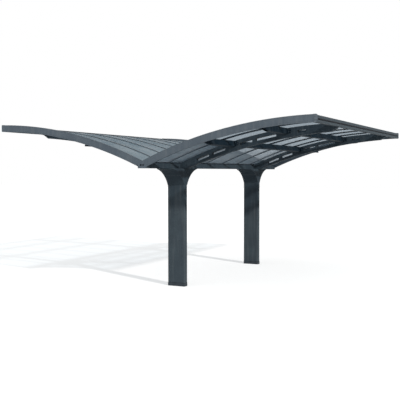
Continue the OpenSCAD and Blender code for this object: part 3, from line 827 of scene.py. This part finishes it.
# %% Eave groove shade strips
EAVE_SHADE_PROFILE = [(0.0, 0.0046), (0.0, -0.0046), (0.0030, -0.0078), (0.0085, -0.0088),
                (0.0112, -0.0050), (0.0116, 0.0020), (0.0110, 0.0072), (0.0100, 0.0080),
                (0.0098, 0.0046)]
EAVE_SHADE_INSET = 0.0004
EAVE_SHADE_END_GAP = 0.001
DEEPEST_GROOVE = 0.011

eave_points = points_of("left_eave_beam")
levels = levels_of(eave_points[:, 1:])
eave_face = levels[:, 0].max()
in_groove = (levels[:, 0] < eave_face) & (levels[:, 0] > eave_face - DEEPEST_GROOVE)
groove_back, groove_low = levels[in_groove][0]
groove_high = levels[(levels[:, 0] == groove_back)][:, 1].max()
eave_end = eave_points[:, 0].max() - EAVE_SHADE_END_GAP
for wing, side in SIDES.items():
    start = np.array([-eave_end, side * (groove_back + EAVE_SHADE_INSET),
                      (groove_low + groove_high) / 2.0])
    # A black strip in the groove: painted shade for the groove's own dark line.
    eave_shade = carried(EAVE_SHADE_PROFILE, [start, start * TO_OTHER_END], side * Y_AXIS, Z_AXIS)
    make_piece(wing + "_eave_shade_strip", [eave_shade], rubber)
print("Eave groove from", groove_low, "to", groove_high)

# %% [markdown]
# ## Screws and plugs in the caps
# Each corner cap has two screws in its end and a black plug in its outer face, which is painted
# shade for the dark of a screw recess. Each gutter cap has a raised rim and two larger black plugs
# side by side, which hide the screws that hold it. The places are measured from the caps' own
# boxes, so they follow the caps when the roof changes.

# %% Cap screws and plugs
PLUG = [(0.0, 0.0006), (0.0062, 0.0008), (0.0070, 0.0018), (0.0088, 0.0020), (0.0098, 0.0014),
        (0.0100, 0.0), (0.0, 0.0)]
RECESS_SHADE_LEVEL, RECESS_SHADE_FROM_END = 0.020, 0.0165
SCREW_SHARES = np.array([0.3, 0.72])
CAP_PLUG_OFFSET, CAP_PLUG_DROP, CAP_PLUG_SIZE = 0.019, 0.017, 1.25

plug = turned(PLUG, steps=22)
large_plug = (plug[0] * CAP_PLUG_SIZE, plug[1])
corner_low, corner_high = (np.array(v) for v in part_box("left_corner_caps"))
screw_levels = corner_low[2] + (corner_high[2] - corner_low[2]) * SCREW_SHARES
cap_low, cap_high = (np.array(v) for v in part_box("front_gutter_cap"))
plugs_and_recess_shades, screws = [], []
for end in ENDS.values():
    outward = end * X_AXIS
    for side in SIDES.values():
        # The black plug in each corner cap's outer face is painted shade for a screw recess.
        recess_shade_spot = [(end * (corner_high[0] - RECESS_SHADE_FROM_END), side * corner_high[1],
                   corner_low[2] + RECESS_SHADE_LEVEL)]
        plugs_and_recess_shades.append(stamped(plug, recess_shade_spot, side * Y_AXIS, X_AXIS))
        spots = [(end * corner_high[0], side * (corner_low[1] + corner_high[1]) / 2.0, z)
                 for z in screw_levels]
        screws.append(stamped(pan_head, spots, outward, Z_AXIS))
    spots = [(end * -cap_low[0], y, cap_high[2] - CAP_PLUG_DROP)
             for y in (-CAP_PLUG_OFFSET, CAP_PLUG_OFFSET)]
    plugs_and_recess_shades.append(stamped(large_plug, spots, outward, Z_AXIS))
make_piece("cap_plugs_and_recess_shades", plugs_and_recess_shades, rubber)
make_piece("corner_cap_screws", screws, screw_steel)

# %% Gutter cap rims
RIM_PROFILE = [(-0.0022, 0.0), (-0.0018, 0.0014), (0.0, 0.0020), (0.0018, 0.0014), (0.0022, 0.0)]
RIM_INSET = 0.004

rims = []
rim_low, rim_high = cap_low + RIM_INSET, cap_high - RIM_INSET
for end in ENDS.values():
    face, outward = end * -cap_low[0], end * X_AXIS
    corners = np.array([[face, rim_low[1], rim_low[2]], [face, rim_high[1], rim_low[2]],
                        [face, rim_high[1], rim_high[2]], [face, rim_low[1], rim_high[2]]])
    for first, second in zip(corners, np.roll(corners, -1, axis=0)):
        way = (second - first) / np.linalg.norm(second - first)
        rims.append(carried(RIM_PROFILE, [first, second], np.cross(outward, way), outward))
make_piece("gutter_cap_rims", rims, edge_paint)

# %% [markdown]
# ## Bolts and cleats of the arms
# Bolts go through the closed stretches of each arm, at its root and on both sides of the purlins.
# A bolt head is the same turned shape as a screw, with only six steps round, which makes it a
# hexagon.

# %% Arm bolts
HEX_HEAD = [(0.0, 0.0066), (0.0058, 0.0066), (0.0072, 0.0054), (0.0075, 0.0048),
            (0.0075, 0.0014), (0.0, 0.0014)]
BOLT_WASHER = [(0.0, 0.0016), (0.0104, 0.0016), (0.0112, 0.0010), (0.0112, 0.0), (0.0, 0.0)]
BOLT_ROWS = (-0.036, -0.092)
BESIDE_PURLIN = 0.062
ROOT_BOLTS = [0.165, 0.285]

bolt = joined([turned(HEX_HEAD, steps=6), turned(BOLT_WASHER, steps=20)])
purlin_places = []
for name in ("left_inner_purlin", "left_outer_purlin"):
    low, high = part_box(name)
    purlin_places.append((low[1] + high[1]) / 2.0)
bolt_places = ROOT_BOLTS + [place + beside for place in purlin_places
                            for beside in (-BESIDE_PURLIN, BESIDE_PURLIN)]
arm_low, arm_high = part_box("front_left_upper_chord")
ARM_FACES = ((arm_low[0], -1.0), (arm_high[0], 1.0))
bolts = []
for side in SIDES.values():
    for row in BOLT_ROWS:
        spots, _, along = on_curve(sheet_curve, bolt_places, side, row)
        for end in ENDS.values():
            for face, looks_to in ARM_FACES:
                places = spots + (-end * face) * X_AXIS
                bolts.append(stamped(bolt, places, -end * looks_to * X_AXIS, along))
make_piece("arm_bolts", bolts, frame_paint)
print("Purlins at", np.round(purlin_places, 3), "m from the valley")

# %% [markdown]
# Where a purlin crosses an arm, folded cleats join them with small screws. A cleat is an L, carried
# down the side of the arm. Its two screws on each leg sit at the same heights.

# %% Cleat shape
CLEAT_LEG, CLEAT_SHEET = 0.040, 0.003
CLEAT_PROFILE = [(0.0, 0.0), (CLEAT_LEG, 0.0), (CLEAT_LEG, CLEAT_SHEET), (CLEAT_SHEET, CLEAT_SHEET),
                 (CLEAT_SHEET, CLEAT_LEG), (0.0, CLEAT_LEG)]
CLEAT_TOP, CLEAT_FOOT = -0.024, -0.090
CLEAT_SCREW_SHARES = np.array([[0.25], [0.75]])
CLEAT_SCREW_OUT, CLEAT_SCREW_SIZE = 0.024, 0.8

small_screw = (pan_head[0] * CLEAT_SCREW_SIZE, pan_head[1])
cleats, cleat_screws = [], []


def add_cleat(corner, off_arm, off_purlin, up):
    """One cleat down the line between two corner points, with its four screws."""
    cleats.append(carried(CLEAT_PROFILE, corner, off_arm, off_purlin))
    heights = corner[0] + (corner[1] - corner[0]) * CLEAT_SCREW_SHARES
    for outward, leg in ((off_purlin[0], off_arm), (off_arm, off_purlin[0])):
        spots = heights + CLEAT_SCREW_OUT * leg + CLEAT_SHEET * outward
        cleat_screws.append(stamped(small_screw, spots, outward, up))


print("A cleat is", round(CLEAT_TOP - CLEAT_FOOT, 3), "m long")

# %% Purlin cleats
PURLIN_HALF = 0.0252

for side in SIDES.values():
    for place in purlin_places:
        corner, out, along = (np.concatenate(rows) for rows in zip(
            on_curve(sheet_curve, place, side, CLEAT_TOP),
            on_curve(sheet_curve, place, side, CLEAT_FOOT)))
        for flank in (-1.0, 1.0):
            for end in ENDS.values():
                for face, looks_to in ARM_FACES:
                    shift = (-end * face) * X_AXIS + flank * PURLIN_HALF * along
                    add_cleat(corner + shift, -end * looks_to * X_AXIS, flank * along, out[0])
make_piece("purlin_cleats", cleats, purlin_paint_and_shade)
make_piece("cleat_screws", cleat_screws, screw_steel)

# %% [markdown]
# ## Covers of the flares
# The flares that widen each post under the gutter have a closed curved face. In the CAD model they
# are hollow, and the hollow breaks through the upper part of that face. A thin sheet bent to the
# same circle closes it. It could be a plane with a bend modifier, but then its bend would have to
# be matched by eye. Here the circle and the edge of the hole are read from the flare's own points.

# %% The hole in a flare
ROUNDED_PART = 0.020
ON_ARC = 0.0002

post_low, post_high = (np.array(v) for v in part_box("front_post"))
flare = points_of("front_flares")
flare = flare[flare[:, 0] > post_high[0] + ROUNDED_PART]
width = np.abs(flare[:, 1])
at_rim = width > width.max() - ON_ARC
arc_x, arc_z, arc_radius = circle_of(flare[at_rim, 0], flare[at_rim, 2])
off_arc = np.hypot(flare[:, 0] - arc_x, flare[:, 2] - arc_z) - arc_radius
hole = flare[~at_rim & (np.abs(off_arc) < ON_ARC)]
hole_half, hole_low = np.abs(hole[:, 1]).max() - ON_ARC, hole[:, 2].min()
hole_high = flare[:, 2].max() - ON_ARC
print("Hole in a flare: lowest", round(float(hole_low), 3),
      "half width", round(float(hole_half), 3))

# %% Flare covers
COVER_LOW, COVER_HIGH = 0.0004, 0.0014
COVER_LAP = 0.010
COVER_STEPS = 20

cover_profile = [(-hole_half, COVER_LOW), (hole_half, COVER_LOW),
                 (hole_half, COVER_HIGH), (-hole_half, COVER_HIGH)]
post_middle = (post_low[0] + post_high[0]) / 2.0
cover_ends = np.arcsin((np.array([hole_low - COVER_LAP, hole_high]) - arc_z) / arc_radius)
lean = np.linspace(*cover_ends, COVER_STEPS)
covers = []
for end in ENDS.values():
    for flank in (-1.0, 1.0):
        way = np.stack([-flank * np.cos(lean), 0.0 * lean, np.sin(lean)], -1)
        centre = np.array([-end * post_middle + flank * (arc_x - post_middle), 0.0, arc_z])
        covers.append(carried(cover_profile, centre + arc_radius * way, Y_AXIS, way))
make_piece("flare_covers", covers, frame_paint)

# %% [markdown]
# ## Feet and gutter outlets
# A thin sealing bead runs round each post on top of its foot trim. It is the same carried profile,
# on a path that closes on itself: a rectangle with rounded corners. Inside the gutter, a domed
# strainer over each post keeps leaves out of the pipe.

# %% Foot beads
BEAD_PROFILE = [(0.0002, 0.0), (0.0032, 0.0), (0.0028, 0.0016), (0.0016, 0.0034), (0.0002, 0.0040)]
POST_ROUNDING, QUARTER_STEPS = 0.010, 7
QUADRANTS = np.array([[1, 1, 0], [-1, 1, 0], [-1, -1, 0], [1, -1, 0]], dtype=float)

trim_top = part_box("front_base_trim")[1][2]
post_centre, half = (post_low + post_high) / 2.0, (post_high - post_low) / 2.0
quarter = np.linspace(0.0, math.pi / 2.0, QUARTER_STEPS)
angle = (quarter[None] + np.arange(len(QUADRANTS))[:, None] * math.pi / 2.0).ravel()
way = np.stack([np.cos(angle), np.sin(angle), 0.0 * angle], -1)
loop = np.repeat(QUADRANTS, QUARTER_STEPS, axis=0) * (half - POST_ROUNDING) + POST_ROUNDING * way
beads = []
for end in ENDS.values():
    centre = np.array([-end * post_centre[0], 0.0, trim_top])
    beads.append(carried(BEAD_PROFILE, loop + centre, way, Z_AXIS, closed=True))
make_piece("foot_beads", beads, rubber)

# %% Gutter strainers
STRAINER = [(0.0, 0.0300), (0.0100, 0.0290), (0.0200, 0.0255), (0.0290, 0.0180), (0.0340, 0.0080),
            (0.0350, 0.0030), (0.0430, 0.0028), (0.0440, 0.0016), (0.0440, 0.0), (0.0, 0.0)]
GUTTER_WALL = 0.003

strainer = turned(STRAINER, steps=32)
gutter_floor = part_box("valley_gutter")[0][2] + GUTTER_WALL
strainers = [stamped(strainer, [(-end * post_centre[0], 0.0, gutter_floor)], Z_AXIS, X_AXIS)
             for end in ENDS.values()]
make_piece("gutter_strainers", strainers, zinc_plate)
